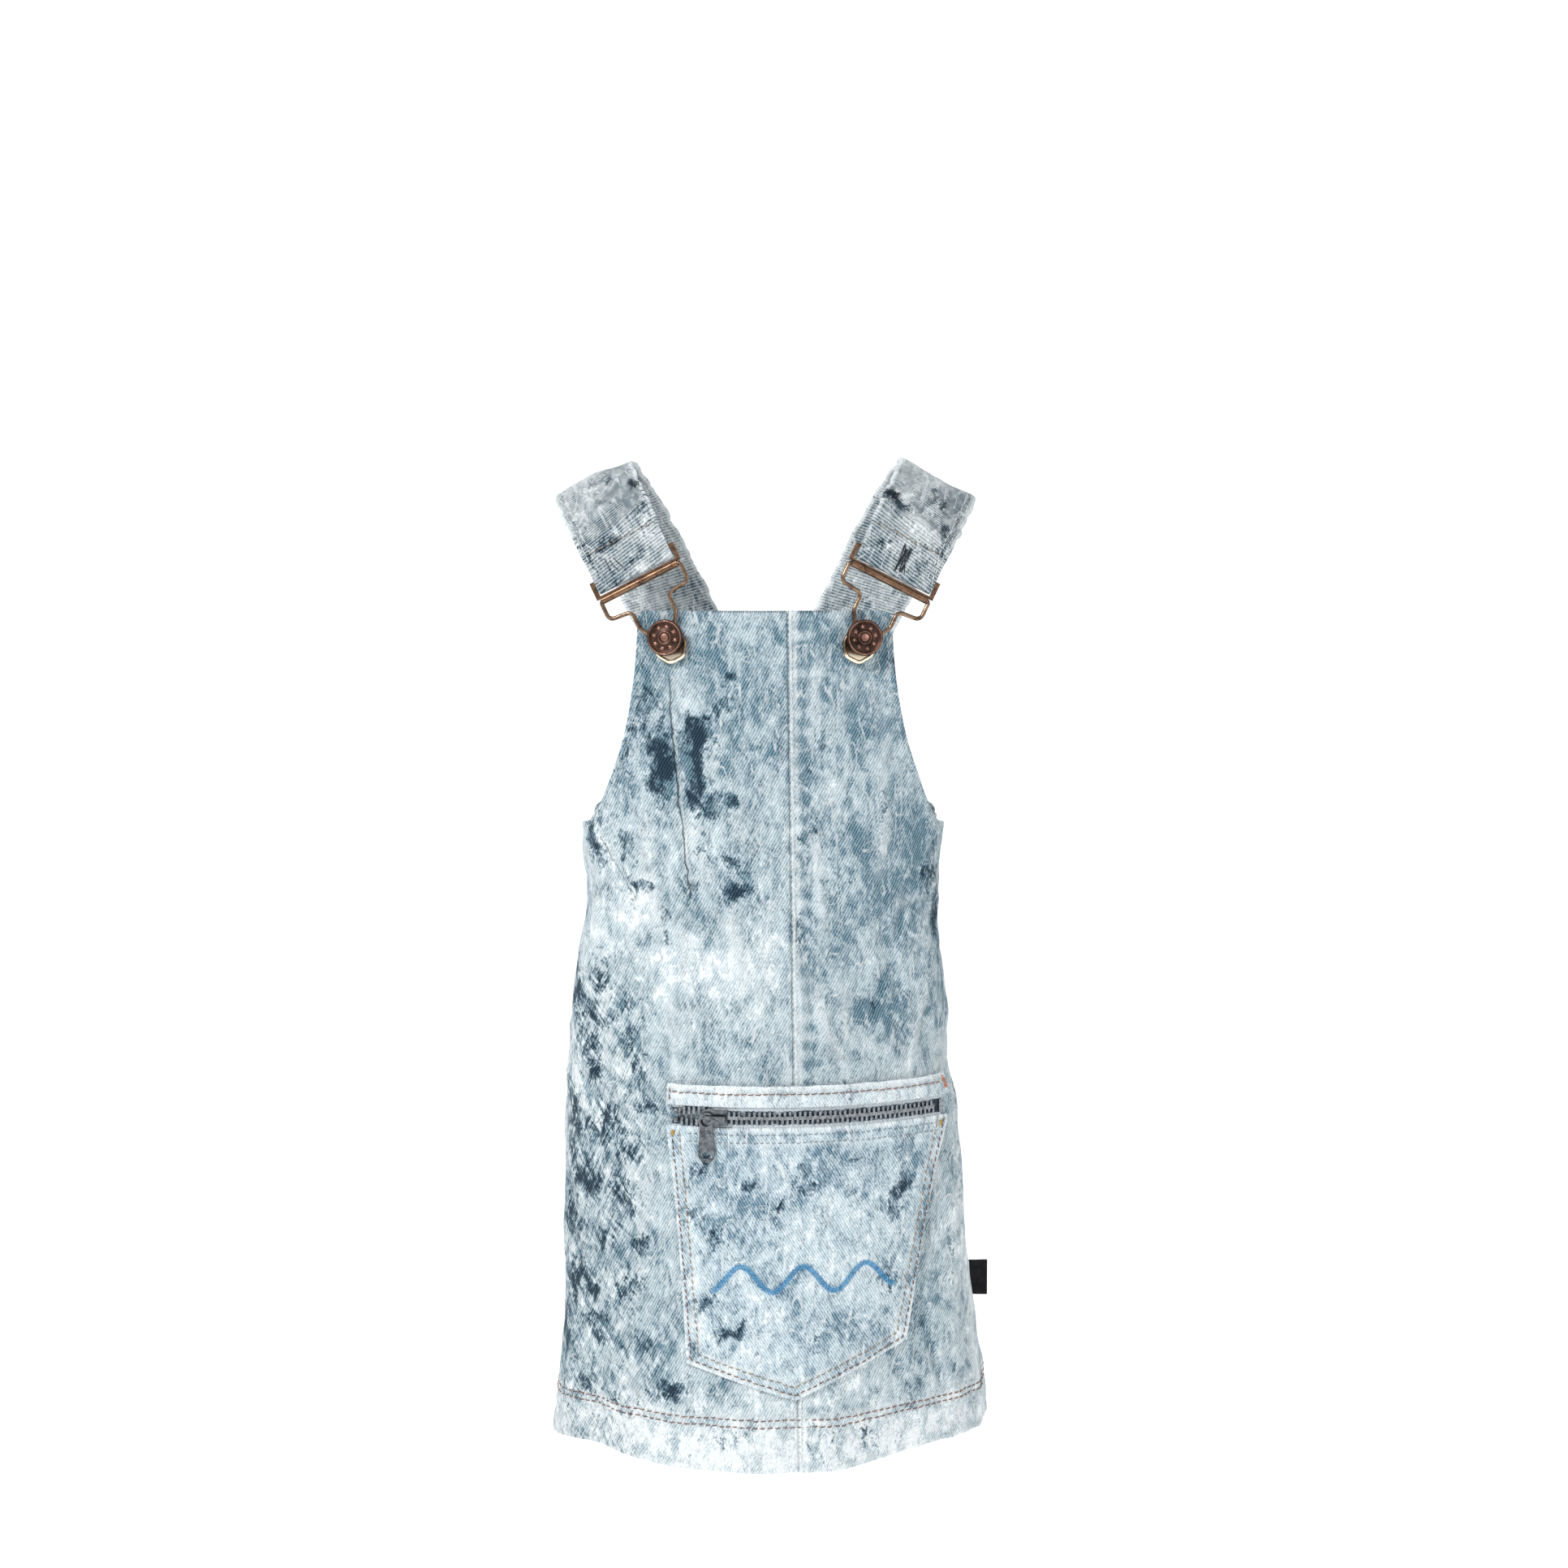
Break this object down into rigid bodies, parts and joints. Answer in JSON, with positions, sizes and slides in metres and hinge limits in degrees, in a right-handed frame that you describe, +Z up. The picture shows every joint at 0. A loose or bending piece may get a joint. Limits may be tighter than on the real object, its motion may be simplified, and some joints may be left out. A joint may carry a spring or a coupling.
{
  "type": "denim pinafore smock",
  "caption": "Toddler's washed denim pinafore smock with a bib, dungaree buckles on tack buttons and a zip patch pocket.",
  "frame": {"origin": "midpoint between the crests of the two shoulder straps, where the shoulders carry the garment", "axes": "+Z up the wearer, -Y out of the front, +X towards the wearer's left"},
  "size_m": [0.2195, 0.1459, 0.4839],
  "materials": {
    "denim": "bleached washed denim twill",
    "lining": "plain cotton, unbleached side of the denim",
    "strap_denim": "coarse washed denim twill, raw edges",
    "pocket_denim": "heavily washed denim twill",
    "embroidery_thread": "light blue chain stitch",
    "label_ribbon": "black woven ribbon, blank",
    "zip_tape": "herringbone tape",
    "zip_metal": "dark antique nickel",
    "slider_metal": "brushed gunmetal",
    "shank_metal": "plain pressed steel",
    "button_copper": "dark antique copper with bright rims",
    "antique_brass": "antique brass, edges rubbed bright"
  },
  "bodies": {
    "garment": {"front_panel_left": "denim", "front_panel_right": "denim", "back_panel_left": "denim", "back_panel_right": "denim", "bib_lining": "lining", "back_lining": "lining", "strap_left": "strap_denim", "strap_right": "strap_denim", "pocket_patch": "pocket_denim", "pocket_top_strip": "pocket_denim", "pocket_embroidery": "embroidery_thread", "side_label": "label_ribbon", "zip_tape_upper": "zip_tape", "zip_tape_lower": "zip_tape", "zip_teeth_upper": "zip_metal", "zip_teeth_lower": "zip_metal", "zip_top_stops": "zip_metal", "zip_bottom_stop": "zip_metal", "button_shank_left": "shank_metal", "button_shank_right": "shank_metal", "button_tack_left": "shank_metal", "button_tack_right": "shank_metal"},
    "slider": {"zip_slider": "slider_metal"},
    "pull": {"zip_pull": "slider_metal"},
    "buckle_left": {"buckle_frame_left": "antique_brass", "strap_end_left": "strap_denim"},
    "hook_left": {"hook_wire_left": "antique_brass"},
    "cap_left": {"button_cap_left": "button_copper"},
    "buckle_right": {"buckle_frame_right": "antique_brass", "strap_end_right": "strap_denim"},
    "hook_right": {"hook_wire_right": "antique_brass"},
    "cap_right": {"button_cap_right": "button_copper"}
  },
  "joints": [
    {"name": "zip_slide", "type": "hinge", "parent": "garment", "child": "slider", "pos_m": [0, 0.075, -0.297], "axis": [0, 0, 1], "range_deg": [-4.2, 40.9], "deforming": ["zip_teeth_upper", "zip_teeth_lower", "zip_tape_upper", "zip_tape_lower"]},
    {"name": "pull_swing", "type": "hinge", "parent": "slider", "child": "pull", "pos_m": [-0.02775, -0.07241, -0.297], "axis": [-0.185, -0.9827, 0], "range_deg": [-150, 45]},
    {"name": "buckle_drop_left", "type": "slide", "parent": "garment", "child": "buckle_left", "axis": [-0.4278, -0.175, -0.8868], "range_m": [0, 0.017]},
    {"name": "hook_pivot_left", "type": "hinge", "parent": "buckle_left", "child": "hook_left", "pos_m": [0.05855, -0.05211, -0.04426], "axis": [0.8822, 0.1329, -0.4518], "range_deg": [-1.5, 1.5]},
    {"name": "button_spin_left", "type": "hinge", "parent": "garment", "child": "cap_left", "pos_m": [0.0455, -0.0547, -0.0705], "axis": [0.1969, -0.9756, 0.0976], "continuous": true},
    {"name": "buckle_drop_right", "type": "slide", "parent": "garment", "child": "buckle_right", "axis": [0.4278, -0.175, -0.8868], "range_m": [0, 0.017]},
    {"name": "hook_pivot_right", "type": "hinge", "parent": "buckle_right", "child": "hook_right", "pos_m": [-0.05855, -0.05211, -0.04426], "axis": [0.8822, -0.1329, 0.4518], "range_deg": [-1.5, 1.5]},
    {"name": "button_spin_right", "type": "hinge", "parent": "garment", "child": "cap_right", "pos_m": [-0.0455, -0.0547, -0.0705], "axis": [-0.1969, -0.9756, 0.0976], "continuous": true}
  ]
}
